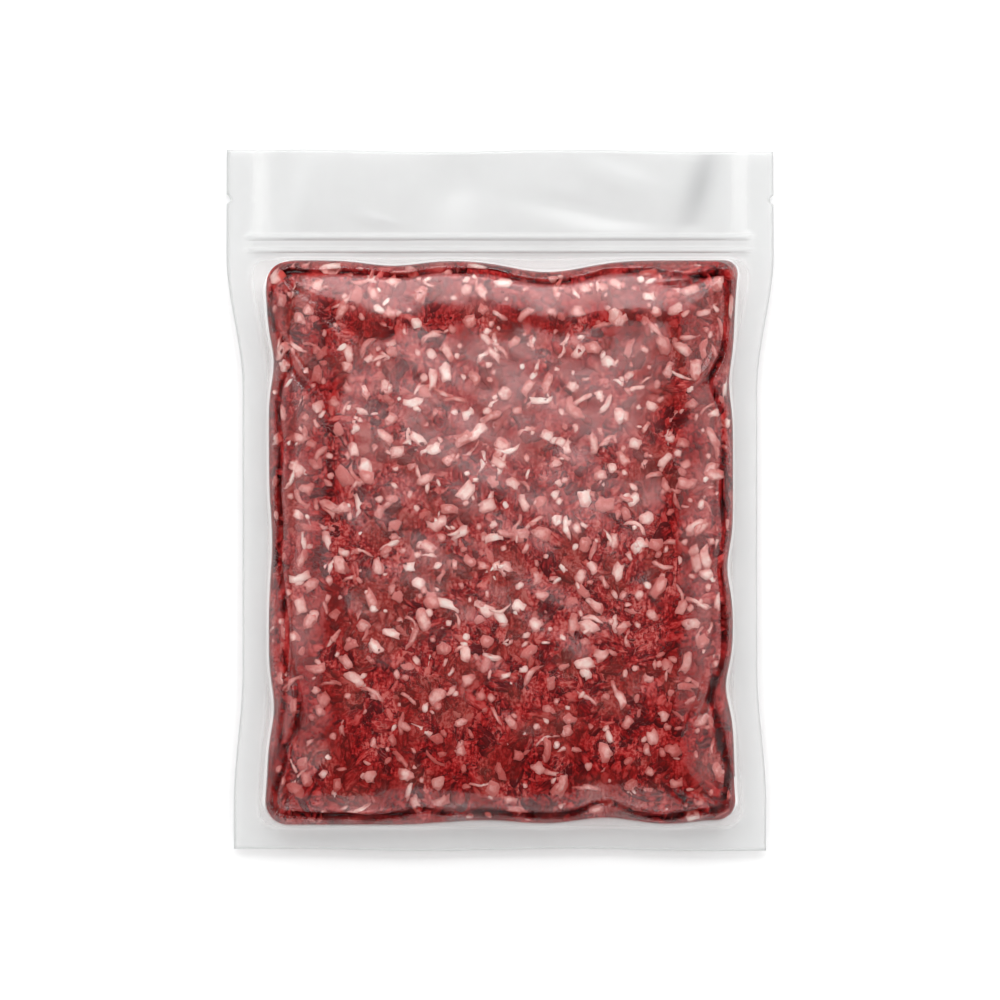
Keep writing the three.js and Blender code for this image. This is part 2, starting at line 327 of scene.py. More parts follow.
def window_depth(x, y):
    """How far (x, y) lies inside the line where the weld ends."""
    inside_x = film_half_width(y) - SIDE_WELD - np.abs(x)
    inside_y = np.minimum(WINDOW_TOP - y, y + HALF_LENGTH - FOOT_WELD)
    return rounded_inset(inside_x, inside_y, WELD_CORNER)


def pillow(depth, reach):
    share = np.clip(depth / reach, 0, 1)
    return np.sqrt(1 - (1 - share) ** ROUNDNESS)


def border_height(x, y):
    out = np.maximum(-block_depth(x, y), 0)
    sunk = BORDER_LOW + (SEAM - BORDER_LOW) * np.exp(-out / BORDER_REACH)
    sunk = sunk + FILLET_HEIGHT * np.exp(-out / FILLET_REACH) + streaks(HEAD_FOLDS, x, y)
    return sunk + waves(FLUTTER, x, y) * (1 - np.exp(-out / FLUTTER_REACH))


def zip_half(x, y):
    """Half the thickness that the zip needs between the films."""
    rib = ZIP_RIB_HALF_WIDTH + ZIP_RIB_COVER
    arch = sum(np.sqrt(np.clip(1 - ((y - at) / rib) ** 2, 0, 1)) for at in ZIP_TRACKS)
    ends = smoothstep(-ZIP_END_FADE, 0, zip_high.x / MM - np.abs(x))
    low, high = zip_low.y / MM, zip_high.y / MM
    base = smoothstep(low - ZIP_EDGE_FADE, low, y) * smoothstep(high + ZIP_EDGE_FADE, high, y)
    return (base * (ZIP_HALF + FILM_CLEARANCE) + ZIP_RIB * arch) * ends


def envelope_half(x, y):
    loosening = smoothstep(0, LOOSE_FROM_WELD, window_depth(x, y))
    loose = WELD_HALF + (LOOSE_HALF - WELD_HALF) * loosening
    inside_seal = film_half_width(y) - SIDE_WELD - np.abs(x)
    head = WELD_HALF + (LOOSE_HALF - WELD_HALF) * smoothstep(0, LOOSE_FROM_SEAL, inside_seal)
    head = head * smoothstep(WINDOW_TOP, WINDOW_TOP + LOOSE_FROM_ZIP, y)
    return np.maximum(np.maximum(loose, head), zip_half(x, y))


def tuck_line(x, y):
    """How deep inside the outline the tuck lies at (x, y)."""
    return TUCK_FROM + along_sides(TUCK_WANDER, x, y) + 0.4 * rough(x, y, size=12, seed=11)


def tuck(x, y, depth, width):
    """The tuck's groove at (x, y), 1 where it is deepest."""
    strength = 0.85 + 0.4 * rough(x, y, size=24, seed=12)
    strength = np.clip(strength, TUCK_FAINTEST, TUCK_STRONGEST)
    return strength * bell(depth - tuck_line(x, y), width) * np.clip(depth, 0, 1)


def fold_lines(x, y, away, width):
    """The creases at (x, y), as lines of this half width that lie `away` beside their middles."""
    total = 0
    for at_x, at_y, heading, half_length, depth in FOLDS:
        along, across = turned(x - at_x, y - at_y, heading)
        beside = across - FOLD_CURVE * along ** 2 - away
        total = total + depth * bell(beside, width) * bell(along, half_length)
    return total


def film_front(x, y):
    depth = block_depth(x, y)
    flat = border_height(x, y) + envelope_half(x, y)
    rise = TOP - SEAM - FILLET_HEIGHT - LOOSE_HALF
    soft = sum(height * rough(x, y, size, seed) for height, size, seed in SWELLS)
    shoulder = SHOULDER * (1 + SHOULDER_UNEVEN * rough(x, y, size=24, seed=23))
    high = flat + rise * pillow(depth, shoulder) + soft * smoothstep(*SWELLS_FROM, depth)
    high = high - TUCK_DEPTH * tuck(x, y, depth, TUCK_WIDTH)
    ridges = RIDGE_SHARE * fold_lines(x, y, RIDGE_AWAY, RIDGE_WIDTH)
    high = high + (ridges - fold_lines(x, y, 0, FOLD_WIDTH)) * smoothstep(*CREASES_FROM, depth)
    return np.where(depth > 0, high, flat)


def film_back(x, y):
    depth = block_depth(x, y)
    flat = border_height(x, y) - envelope_half(x, y)
    return np.where(depth > 0, flat * (1 - pillow(depth, HEEL)), flat)


def line_steps(low, high, step):
    return list(np.linspace(low, high, max(2, int(round((high - low) / step)) + 1)))


def grid_lines(half, low_shares, high_shares):
    """The film's grid lines one way: [place on the block, share of the border beyond]."""
    inner = line_steps(0, FINE_REACH, FINE_STEP)
    middle = line_steps(-half + FINE_REACH, half - FINE_REACH, COARSE_STEP)[1:-1]
    rows = [(-half, share) for share in low_shares[:0:-1]]
    rows += [(-half + depth, 0) for depth in inner]
    rows += [(place, 0) for place in middle]
    rows += [(half - depth, 0) for depth in inner[::-1]]
    rows += [(half, share) for share in high_shares[1:]]
    return np.array(rows)


def head_shares():
    """0 to 1 from the block to the head, then 1 to 2 up the head, close together at the zip."""
    places = line_steps(HEAD_FROM, ZIP_TRACKS[1] + ZIP_FINE_PAST, ZIP_STEP)
    places += line_steps(places[-1], HALF_LENGTH, HEAD_STEP)[1:]
    up_head = [1 + (place - HEAD_FROM) / (HALF_LENGTH - HEAD_FROM) for place in places]
    return line_steps(0, 1, BORDER_STEP_TO_HEAD)[:-1] + up_head


def slab(name, columns, rows):
    """A closed slab of columns x rows vertices on each face, one unit from each to the next."""
    bm = bmesh.new()
    bmesh.ops.create_grid(bm, x_segments=columns - 1, y_segments=rows - 1, size=0.5)
    bmesh.ops.scale(bm, vec=(columns - 1, rows - 1, 1), verts=bm.verts)
    raised = bmesh.ops.extrude_face_region(bm, geom=bm.faces[:])["geom"]
    top = [v for v in raised if isinstance(v, bmesh.types.BMVert)]
    bmesh.ops.translate(bm, vec=(0, 0, 1), verts=top)
    bmesh.ops.recalc_face_normals(bm, faces=bm.faces)
    mesh = bpy.data.meshes.new(name)
    bm.to_mesh(mesh)
    bm.free()
    return mesh


def coordinates(mesh):
    co = np.empty(len(mesh.vertices) * 3, np.float32)
    mesh.vertices.foreach_get("co", co)
    return co.reshape(-1, 3).astype(float)


def place_vertices(mesh, x, y, z):
    co = np.stack([x, y, z], 1) * MM
    mesh.vertices.foreach_set("co", co.astype(np.float32).ravel())
    mesh.update()


def add_numbers(mesh, name, values):
    layer = mesh.attributes.new(name, "FLOAT", "POINT")
    layer.data.foreach_set("value", np.asarray(values, np.float32))


def add_vectors(mesh, name, values):
    layer = mesh.attributes.new(name, "FLOAT_VECTOR", "POINT")
    layer.data.foreach_set("vector", np.asarray(values, np.float32).ravel())


def new_object(name, mesh, materials):
    piece = bpy.data.objects.new(name, mesh)
    bpy.context.scene.collection.objects.link(piece)
    for material in materials:
        mesh.materials.append(material)
    mesh.shade_smooth()
    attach(piece, "root")
    return piece


def film_places(place, side_share, level, end_share):
    """Where the film's grid points lie, seen from above."""
    place, level = on_round_corners(place + CENTRE_X, level + CENTRE_Y)
    side_x = place - np.sign(place) * side_drawn_in(place, level)
    end_y = level - np.sign(level) * end_drawn_in(place, level)
    end = np.sign(level) * HALF_LENGTH + END_WAVE * np.sin(END_WAVE_RATE * place)
    to_head = np.minimum(end_share, 1)
    up_head = np.maximum(end_share - 1, 0)
    towards_head = end_y + to_head * (HEAD_FROM - end_y) + up_head * (end - HEAD_FROM)
    y = np.where(level > 0, towards_head, end_y + end_share * (end - end_y))
    notch = np.sqrt(np.clip(NOTCH_RADIUS ** 2 - (y - NOTCH_AT) ** 2, 0, None))
    edge_x = film_half_width(y) - notch
    return side_x + side_share * (np.sign(place) * edge_x - side_x), y


def film_mesh():
    """The whole skin, its grid laid from the block over the border and up the head."""
    border = line_steps(0, 1, BORDER_STEP)
    columns = grid_lines(HALF_WIDTH, border, border)
    rows = grid_lines(BLOCK_HALF_LENGTH, border, head_shares())
    mesh = slab("film", len(columns), len(rows))
    co = coordinates(mesh)
    i = np.rint(co[:, 0] + (len(columns) - 1) / 2).astype(int)
    j = np.rint(co[:, 1] + (len(rows) - 1) / 2).astype(int)
    place, side_share = columns[i].T
    level, end_share = rows[j].T
    x, y = film_places(place, side_share, level, end_share)
    z = np.where(co[:, 2] > 0.5, film_front(x, y), film_back(x, y))
    place_vertices(mesh, x, y, z)
    add_numbers(mesh, "clear", clear_share(x, y))
    # The painted white highlight close to the block.
    add_numbers(mesh, "painted_rim", painted_rim_highlight(x, y))
    # Painted shade on the head's creases.
    add_numbers(mesh, "painted_fold_shade", streaks(HEAD_PAINTED_SHADES, x, y))
    add_numbers(mesh, "cover", film_cover(x, y))
    # Dark juice and painted shade in the creases.
    add_numbers(mesh, "crease_juice_and_shade", crease_juice_and_shade_share(x, y))
    add_numbers(mesh, "cut_edge", (side_share == 1) | (end_share == rows[-1, 1]) | (j == 0))
    return mesh


def crease_juice_and_shade_share(x, y):
    """How much dark juice and painted shade the film's creases hold, from 0 to 1."""
    groove = tuck(x, y, block_depth(x, y), CREASE_WIDTH) + fold_lines(x, y, 0, CREASE_WIDTH)
    return np.clip(groove * (0.8 + 0.35 * rough(x, y, size=5, seed=55)), 0, 1)


def film_cover(x, y):
    """How much of the view the film over the block takes, from 0 to 1."""
    patches = np.clip(0.7 + 0.6 * rough(x, y, size=9, seed=54), 0, 1)
    roll = bell(block_depth(x, y) - ROLL_AT, ROLL_REACH) * patches
    open_film = COVER_OPEN + COVER_ON_ROLL * roll - COVER_LOST_TO_JUICE * juice_and_shade(x, y)
    open_film = np.clip(open_film, COVER_LEAST, COVER_MOST)
    return np.maximum(open_film, COVER_IN_CREASES * crease_juice_and_shade_share(x, y))


def painted_rim_highlight(x, y):
    """How much painted white highlight the film takes close to the block, 0 to 1, less at its two
    ends.
    """
    lost = RIM_LOST_AT_FOOT * smoothstep(*RIM_FOOT, y) + RIM_LOST_AT_HEAD * smoothstep(*RIM_HEAD, y)
    return smoothstep(-RIM_REACH, 0, block_depth(x, y)) * (1 - lost)


def clear_share(x, y):
    """1 where the two films lie loose and clear, 0 where they are welded or milky."""
    loose = smoothstep(-0.5, 1.0, window_depth(x, y))
    inside_seal = film_half_width(y) - SIDE_WELD - SEAL_MARGIN - np.abs(x)
    strip = smoothstep(0, 1, inside_seal) * smoothstep(*STRIP_WIDTH, inside_seal)
    strip = strip * smoothstep(*STRIP_FROM, y)
    between_tracks = smoothstep(-1, 1, inside_seal) * bell(y - ZIP_MIDDLE, ZIP_MIDDLE_REACH)
    return np.maximum(loose, HEAD_CLEARNESS * np.maximum(strip, between_tracks))


def mark_welds(mesh):
    """The border and the head take the second material."""
    centres = np.empty(len(mesh.polygons) * 3, np.float32)
    mesh.polygons.foreach_get("center", centres)
    x, y, _ = centres.reshape(-1, 3).T / MM
    welded = block_depth(x, y) < WELDED_FROM
    mesh.polygons.foreach_set("material_index", welded.astype(np.int32))


def core_places(u, v):
    """Where the core's grid points lie, seen from above, from their places between -1 and 1."""
    ring = np.maximum(np.abs(u), np.abs(v))
    half_x, half_y = HALF_WIDTH - CORE_INSET, BLOCK_HALF_LENGTH - CORE_INSET
    x, y = u * half_x, v * half_y
    near_x = np.clip(x, -ring * (half_x - CORE_CORNER), ring * (half_x - CORE_CORNER))
    near_y = np.clip(y, -ring * (half_y - CORE_CORNER), ring * (half_y - CORE_CORNER))
    away = np.maximum(np.hypot(x - near_x, y - near_y), 1e-9)
    x = near_x + (x - near_x) / away * ring * CORE_CORNER + CENTRE_X
    y = near_y + (y - near_y) / away * ring * CORE_CORNER + CENTRE_Y
    return x - np.sign(x) * side_drawn_in(x, y), y - np.sign(y) * end_drawn_in(x, y)


def core_mesh():
    """The body of the mince under the strands that show."""
    columns, rows = CORE_GRID
    mesh = slab("mince_core", columns, rows)
    co = coordinates(mesh)
    x, y = core_places(co[:, 0] / ((columns - 1) / 2), co[:, 1] / ((rows - 1) / 2))
    front = film_front(x, y) - CORE_GAP + CORE_LUMPS * rough(x, y, size=3.5, seed=31)
    back = film_back(x, y) + CORE_GAP
    z = np.where(co[:, 2] > 0.5, np.maximum(front, back + CORE_THINNEST), back)
    place_vertices(mesh, x, y, z)
    add_numbers(mesh, "tone", CORE_TONE + CORE_TONE_SWING * rough(x, y, size=5, seed=32))
    add_numbers(mesh, "edge", np.zeros(x.size))
    add_numbers(mesh, "juice_and_shade", juice_and_shade(x, y))
    add_numbers(mesh, "dry_and_haze", dryness_and_haze(x, y))
    add_vectors(mesh, "grain", np.stack([CORE_GRAIN * x, y, z], 1))
    return mesh


def slope(surface, x, y, step=0.25):
    across = (surface(x + step, y) - surface(x - step, y)) / (2 * step)
    along = (surface(x, y + step) - surface(x, y - step)) / (2 * step)
    return across, along


def press(points, sink):
    """Moves points that stick out through the film back under it, `sink` below its inner face."""
    x, y, z = points.T.copy()
    for _ in range(2):
        short = np.maximum(OUTLINE_GAP + sink - block_depth(x, y), 0)
        across, along = slope(block_depth, x, y)
        steep = np.maximum(across ** 2 + along ** 2, GENTLEST_SLOPE ** 2)
        x, y = x + short * across / steep, y + short * along / steep
    for surface, way in ((film_front, 1), (film_back, -1)):
        for _ in range(2):
            over = np.maximum(way * (z - surface(x, y)) + sink, 0)
            across, along = slope(surface, x, y)
            steep = 1 + across ** 2 + along ** 2
            x, y = x + way * over * across / steep, y + way * over * along / steep
            z = z - way * over / steep
    return x, y, z


def capsule_template(around, along, bluntness):
    """A closed blunt sausage of length 2 along X and width 2, as arrays of vertices and faces."""
    bm = bmesh.new()
    bmesh.ops.create_uvsphere(bm, u_segments=around, v_segments=along, radius=1)
    bmesh.ops.triangulate(bm, faces=bm.faces)
    bmesh.ops.recalc_face_normals(bm, faces=bm.faces)
    verts = np.array([v.co for v in bm.verts])
    faces = np.array([[v.index for v in f.verts] for f in bm.faces])
    bm.free()
    width = np.hypot(verts[:, 0], verts[:, 1])
    some_width = np.maximum(width, 1e-6)
    blunt = np.where(width > 1e-6, some_width ** bluntness / some_width, 0)
    return np.stack([verts[:, 2], verts[:, 0] * blunt, verts[:, 1] * blunt], 1), faces


def blob_template(squareness):
    """A closed ball of radius 1, filled out towards a round-edged box, as vertices and faces."""
    bm = bmesh.new()
    bmesh.ops.create_icosphere(bm, subdivisions=2, radius=1)
    verts = np.array([v.co for v in bm.verts])
    faces = np.array([[v.index for v in f.verts] for f in bm.faces])
    bm.free()
    return np.sign(verts) * np.abs(verts) ** squareness, faces


def scatter_places(draw, spacing, foot_share):
    """Uneven places over the block's outline, from above, fewer of them towards the foot."""
    xs = np.arange(-HALF_WIDTH, HALF_WIDTH, spacing)
    ys = np.arange(-BLOCK_HALF_LENGTH, BLOCK_HALF_LENGTH, spacing)
    x, y = (a.ravel() for a in np.meshgrid(xs, ys))
    x = x + CENTRE_X + draw.uniform(-0.5, 0.5, x.size) * spacing
    y = y + CENTRE_Y + draw.uniform(-0.5, 0.5, y.size) * spacing
    keep = block_depth(x, y) > PIECE_INSET
    wanted = foot_share + (1 - foot_share) * smoothstep(*THINNING, y)
    keep &= draw.uniform(0, 1, x.size) < wanted
    order = draw.permutation(int(keep.sum()))
    return x[keep][order], y[keep][order]


def lying_on(surface, way, x, y, heading):
    """Directions along, across and out of a face, for pieces that lie on it at (x, y)."""
    n = x.size
    across, along = slope(surface, x, y, 0.6)
    out = np.stack([-way * across, -way * along, np.full(n, float(way))], 1)
    out /= np.linalg.norm(out, axis=1)[:, None]
    forward = np.stack([np.cos(heading), np.sin(heading), np.zeros(n)], 1)
    forward -= out * np.sum(forward * out, 1)[:, None]
    forward /= np.linalg.norm(forward, axis=1)[:, None]
    return forward, np.cross(out, forward), out


def lumpy_copies(draw, template, kind, x0, y0):
    """Copies of a template in their own sizes, lobed, bent and uneven, and half their thickness."""
    n = x0.size
    size = np.stack([
        kind["length"][0] + np.ptp(kind["length"]) * draw.uniform(0, 1, n) ** kind["skew"],
        draw.uniform(*kind["width"], n),
        draw.uniform(*kind["thick"], n),
    ], 1)
    own = np.arange(n)[:, None] * 6.3
    lobes = rough(template[:, 0] + own, template[:, 1] + template[:, 2] - own, size=0.8, seed=45)
    shape = template * (1 + kind["lobes"] * lobes)[..., None] * size[:, None] / 2
    curl = draw.uniform(-kind["bend"], kind["bend"], n)[:, None]
    sideways = shape[..., 1] + 0.5 * curl * shape[..., 0] ** 2
    elsewhere_x, elsewhere_y = x0[:, None] * 9, y0[:, None] * 9
    lumps = rough(shape[..., 0] + elsewhere_x, sideways + elsewhere_y, size=2.2, seed=43)
    lump = 1 + kind["uneven"] * lumps
    return np.stack([shape[..., 0], sideways * lump, shape[..., 2] * lump], 2), size[:, 2] / 2


def pieces_on(draw, surface, way, template, kind):
    """Copies of a template laid on one face of the block and pressed under the film."""
    verts, faces = template
    x0, y0 = scatter_places(draw, kind["spacing"], kind["foot_share"])
    n = x0.size
    shape, half_thick = lumpy_copies(draw, verts, kind, x0, y0)
    depth = draw.uniform(*kind["sink"], n)
    eddies = SWIRL * SWIRL_TURN * rough(x0, y0, SWIRL_REACH, seed=41)
    heading = eddies + draw.normal(0, STRAY, n) + draw.uniform(0, math.pi, n) * (1 - SWIRL)
    axes = lying_on(surface, way, x0, y0, heading)
    below = depth + half_thick * SUNK_SHARE
    middle = np.stack([x0, y0, surface(x0, y0)], 1) - axes[2] * below[:, None]
    offsets = sum(shape[..., k:k + 1] * axis[:, None] for k, axis in enumerate(axes))
    points = middle[:, None] + offsets
    x, y, z = press(points.reshape(-1, 3), np.repeat(depth, len(verts)))
    tone = TONE_MIDDLE + TONE_SWING * rough(x0, y0, size=8, seed=44)
    tone = tone + draw.uniform(-TONE_SPREAD, TONE_SPREAD, n)
    # A painted highlight on the roll.
    tone = tone + PAINTED_HIGHLIGHT_ON_ROLL * bell(block_depth(x0, y0) - 1.5, 2)
    return {
        "x": x, "y": y, "z": z,
        "faces": (faces[None] + np.arange(n)[:, None, None] * len(verts)).reshape(-1, 3),
        "tone": np.repeat(np.clip(tone, 0, 1), len(verts)),
        "edge": np.tile(np.minimum(np.hypot(verts[:, 0], verts[:, 1]), 1), n),
        "grain": (shape + draw.uniform(0, 500, (n, 1, 3))).reshape(-1, 3),
    }


def joined_mesh(name, groups):
    """One mesh of all the pieces, with what their materials read."""
    start = 0
    faces = []
    for group in groups:
        faces.append(group["faces"] + start)
        start += group["x"].size
    faces = np.concatenate(faces)
    mesh = bpy.data.meshes.new(name)
    mesh.vertices.add(start)
    mesh.loops.add(faces.size)
    mesh.polygons.add(len(faces))
    mesh.loops.foreach_set("vertex_index", faces.ravel().astype(np.int32))
    mesh.polygons.foreach_set("loop_start", np.arange(0, faces.size, 3, dtype=np.int32))
    x, y, z = (np.concatenate([group[key] for group in groups]) for key in "xyz")
    place_vertices(mesh, x, y, z)
    mesh.update(calc_edges=True)
    for key in ("tone", "edge"):
        add_numbers(mesh, key, np.concatenate([group[key] for group in groups]))
    add_vectors(mesh, "grain", np.concatenate([group["grain"] for group in groups]))
    add_numbers(mesh, "juice_and_shade", juice_and_shade(x, y))
    add_numbers(mesh, "dry_and_haze", dryness_and_haze(x, y))
    return mesh


def dryness_and_haze(x, y):
    """Where the film lies on the meat with no juice under it, 0 to 1: lighter meat, partly painted
    haze.
    """
    depth = block_depth(x, y) + DRY_UNEVEN * rough(x, y, size=11, seed=52)
    across, along = np.abs(x), y - CENTRE_Y
    sides = smoothstep(*DRY_SIDES_ALONG, np.abs(along)) * smoothstep(*DRY_SIDES_FROM, across)
    head = smoothstep(*DRY_HEAD_FROM, along) * smoothstep(*DRY_HEAD_WITHIN, across)
    shoulder = smoothstep(*DRY_SHOULDER_FROM, depth) * smoothstep(*DRY_SHOULDER_TO, depth)
    shoulder = shoulder * np.maximum(DRY_SIDES * sides, head)
    middle = bell(x - DRY_X, DRY_REACH_X) * bell(y - DRY_Y, DRY_REACH_Y)
    middle = middle * smoothstep(*DRY_MIDDLE_FROM, depth)
    return np.clip((shoulder + middle) * (0.8 + 0.4 * rough(x, y, size=8, seed=53)), 0, 1)


def juice_and_shade(x, y):
    """Where dark meat juice gathers under the film, with painted shade in tuck, creases and band, 0
    to 1.
    """
    depth, line = block_depth(x, y), tuck_line(x, y)
    crease_juice_and_shade = bell(depth - line, JUICE_AND_SHADE_WIDTH) + JUICE_AND_SHADE_IN_FOLDS * fold_lines(x, y, 0, JUICE_AND_SHADE_WIDTH)
    outer = JUICE_OUTER * bell(depth - 0.5 * line - 1, JUICE_OUTER_WIDTH)
    juice_and_shade_band = JUICE_AND_SHADE_BAND * bell(depth - JUICE_AND_SHADE_BAND_AT, JUICE_AND_SHADE_BAND_REACH)
    foot = JUICE_FOOT * smoothstep(*JUICE_FOOT_FROM, y)
    corner = JUICE_CORNER * smoothstep(*JUICE_CORNER_ACROSS, np.abs(x))
    corner = corner * smoothstep(*JUICE_CORNER_ALONG, np.abs(y - CENTRE_Y))
    patchy = 0.6 + 0.5 * rough(x, y, size=7, seed=51)
    pools_and_shade = np.clip((juice_and_shade_band + foot + corner + outer) * patchy, 0, JUICE_MOST)
    return np.clip(crease_juice_and_shade + pools_and_shade, 0, 1)


def lean_mesh():
    draw = np.random.default_rng(SEED)
    strand = capsule_template(around=6, along=7, bluntness=0.6)
    return joined_mesh("lean_strands", [pieces_on(draw, film_front, 1, strand, LEAN_STRANDS)])


def lean_back_mesh():
    draw = np.random.default_rng(SEED + 1)
    strand = capsule_template(around=6, along=6, bluntness=0.55)
    below = pieces_on(draw, film_back, -1, strand, BACK_STRANDS)
    return joined_mesh("lean_strands_back", [below])


def fat_mesh():
    draw = np.random.default_rng(SEED + 2)
    blob = blob_template(squareness=0.7)
    return joined_mesh("fat_bits", [pieces_on(draw, film_front, 1, blob, FAT_BITS)])


def fat_crumbs_mesh():
    draw = np.random.default_rng(SEED + 3)
    blob = blob_template(squareness=0.8)
    sliver = capsule_template(around=6, along=7, bluntness=0.45)
    crumbs = pieces_on(draw, film_front, 1, blob, FAT_CRUMBS)
    slivers = pieces_on(draw, film_front, 1, sliver, FAT_SLIVERS)
    below = pieces_on(draw, film_back, -1, blob, BACK_FAT)
    return joined_mesh("fat_crumbs", [crumbs, slivers, below])


# Materials and the node groups that they share.

FLOAT, COLOUR = "NodeSocketFloat", "NodeSocketColor"


def new_material(name):
    material = bpy.data.materials.new(name)
    material.use_nodes = True
    nodes, links = material.node_tree.nodes, material.node_tree.links
    nodes.clear()
    output = nodes.new("ShaderNodeOutputMaterial")
    shader = nodes.new("ShaderNodeBsdfPrincipled")
    links.new(shader.outputs["BSDF"], output.inputs["Surface"])
    return material, nodes, links, shader


def feed(links, socket, value):
    """Sets a socket to a number or a colour, or links it to another socket."""
    if isinstance(value, (int, float)):
        socket.default_value = value
    elif isinstance(value, tuple):
        socket.default_value = (*value, 1)
    else:
        links.new(value, socket)


def attribute(nodes, name):
    node = nodes.new("ShaderNodeAttribute")
    node.attribute_name = name
    return node


def colour_ramp(nodes, links, value, stops):
    ramp = nodes.new("ShaderNodeValToRGB")
    elements = ramp.color_ramp.elements
    while len(elements) < len(stops):
        elements.new(0.5)
    for element, (place, colour) in zip(elements, stops):
        element.position = place
        element.color = (*colour, 1)
    links.new(value, ramp.inputs["Fac"])
    return ramp.outputs["Color"]


def noise(nodes, links, vector, scale, detail):
    node = nodes.new("ShaderNodeTexNoise")
    feed(links, node.inputs["Scale"], scale)
    feed(links, node.inputs["Detail"], detail)
    links.new(vector, node.inputs["Vector"])
    return node.outputs["Fac"]


def maths(nodes, links, operation, a, b, clamp=False):
    node = nodes.new("ShaderNodeMath")
    node.operation = operation
    node.use_clamp = clamp
    feed(links, node.inputs[0], a)
    feed(links, node.inputs[1], b)
    return node.outputs["Value"]


def remapped(nodes, links, value, low, high, to_low=0.0, to_high=1.0):
    """The value moved from the range low to high into the range to_low to to_high."""
    node = nodes.new("ShaderNodeMapRange")
    links.new(value, node.inputs["Value"])
    feed(links, node.inputs["From Min"], low)
    feed(links, node.inputs["From Max"], high)
    feed(links, node.inputs["To Min"], to_low)
    feed(links, node.inputs["To Max"], to_high)
    return node.outputs["Result"]


def mix_colour(nodes, links, share, a, b, blend="MIX"):
    """Colour a with this share of colour b; sockets 6 and 7 are the node's colours."""
    node = nodes.new("ShaderNodeMix")
    node.data_type = "RGBA"
    node.blend_type = blend
    feed(links, node.inputs[0], share)
    feed(links, node.inputs[6], a)
    feed(links, node.inputs[7], b)
    return node.outputs[2]


def bumped(nodes, links, shader, height, distance, strength=1.0):
    node = nodes.new("ShaderNodeBump")
    node.inputs["Distance"].default_value = distance
    node.inputs["Strength"].default_value = strength
    links.new(height, node.inputs["Height"])
    links.new(node.outputs["Normal"], shader.inputs["Normal"])


def stretched(nodes, links, vector, scale):
    node = nodes.new("ShaderNodeMapping")
    node.inputs["Scale"].default_value = scale
    links.new(vector, node.inputs["Vector"])
    return node.outputs["Vector"]


LEAN_STOPS = (
    (0.0, (0.10, 0.006, 0.008)),
    (0.25, (0.20, 0.010, 0.012)),
    (0.5, (0.34, 0.020, 0.021)),
    (0.75, (0.50, 0.052, 0.048)),
    (1.0, (0.62, 0.16, 0.14)),
)
FAT_STOPS = (
    (0.0, (0.64, 0.21, 0.19)),
    (0.35, (0.79, 0.41, 0.375)),
    (0.7, (0.88, 0.60, 0.55)),
    (1.0, (0.93, 0.78, 0.72)),
)
# The juice's tint, near black at the middle of the tuck and the creases, where it is painted shade.
JUICE_AND_SHADE_STOPS = (
    (0.5, (0.74, 0.17, 0.19)),
    (0.95, (0.10, 0.04, 0.05)),
)
PALE_LINE_COLOUR = (0.60, 0.24, 0.21)
BROWN_MEAT = (0.26, 0.045, 0.032)
DRY_AND_HAZED_MEAT = (0.48, 0.15, 0.15)
SOAKED_AND_SHADED_FAT = (0.5, 0.12, 0.11)
PALE_LINE_STOPS = (
    (0.55, (0, 0, 0)),
    (0.58, (0.45, 0.45, 0.45)),
    (0.61, (0, 0, 0)),
)
BROWN_STOPS = ((0.45, (0, 0, 0)), (0.62, (0.4, 0.4, 0.4)))
# The film is clear, and its creases hold dark juice and painted shade, near black at their middle.
FILM_AND_CREASE_SHADE_STOPS = (
    (0.1, (0.97, 0.96, 0.96)),
    (0.5, (0.42, 0.04, 0.045)),
    (0.9, (0.12, 0.006, 0.01)),
)
# The border is milky in its welds and clearer between them and the block.
MILKY_STOPS = ((0.0, (0.745, 0.75, 0.75)), (1.0, (0.99, 0.99, 0.985)))
WELD_COVER, LOOSE_COVER, RIM_COVER = 0.5, 0.2, 0.75
# Painted shade on the head's creases.
FOLD_PAINTED_SHADE = (0.3, 0.31, 0.31)
CUT_GREY = (0.6, 0.61, 0.61)


def node_group(name, inputs, output, kind):
    """An empty shader node group with named inputs (name, kind, value) and one named output."""
    group = bpy.data.node_groups.new(name, "ShaderNodeTree")
    for input_name, input_kind, value in inputs:
        socket = group.interface.new_socket(input_name, in_out="INPUT", socket_type=input_kind)
        socket.default_value = value
    group.interface.new_socket(output, in_out="OUTPUT", socket_type=kind)
    given = group.nodes.new("NodeGroupInput").outputs
    result = group.nodes.new("NodeGroupOutput").inputs[output]
    return group, group.nodes, group.links, given, result


def placed(nodes, links, group, **values):
    """A node of the group in a material, with its own values; underscores stand for spaces."""
    node = nodes.new("ShaderNodeGroup")
    node.node_tree = group
    for name, value in values.items():
        feed(links, node.inputs[name.replace("_", " ")], value)
    return node.outputs[0]


def cloudiness_group():
    """A soft uneven value from one number to another, over the whole pouch."""
    inputs = (
        ("Scale", FLOAT, 60), ("Detail", FLOAT, 2), ("Lowest", FLOAT, 0), ("Highest", FLOAT, 1),
    )
    group, nodes, links, given, result = node_group("cloudiness", inputs, "Value", FLOAT)
    place = nodes.new("ShaderNodeTexCoord").outputs["Object"]
    cloud = noise(nodes, links, place, given["Scale"], given["Detail"])
    links.new(remapped(nodes, links, cloud, 0.3, 0.7, given["Lowest"], given["Highest"]), result)
    return group


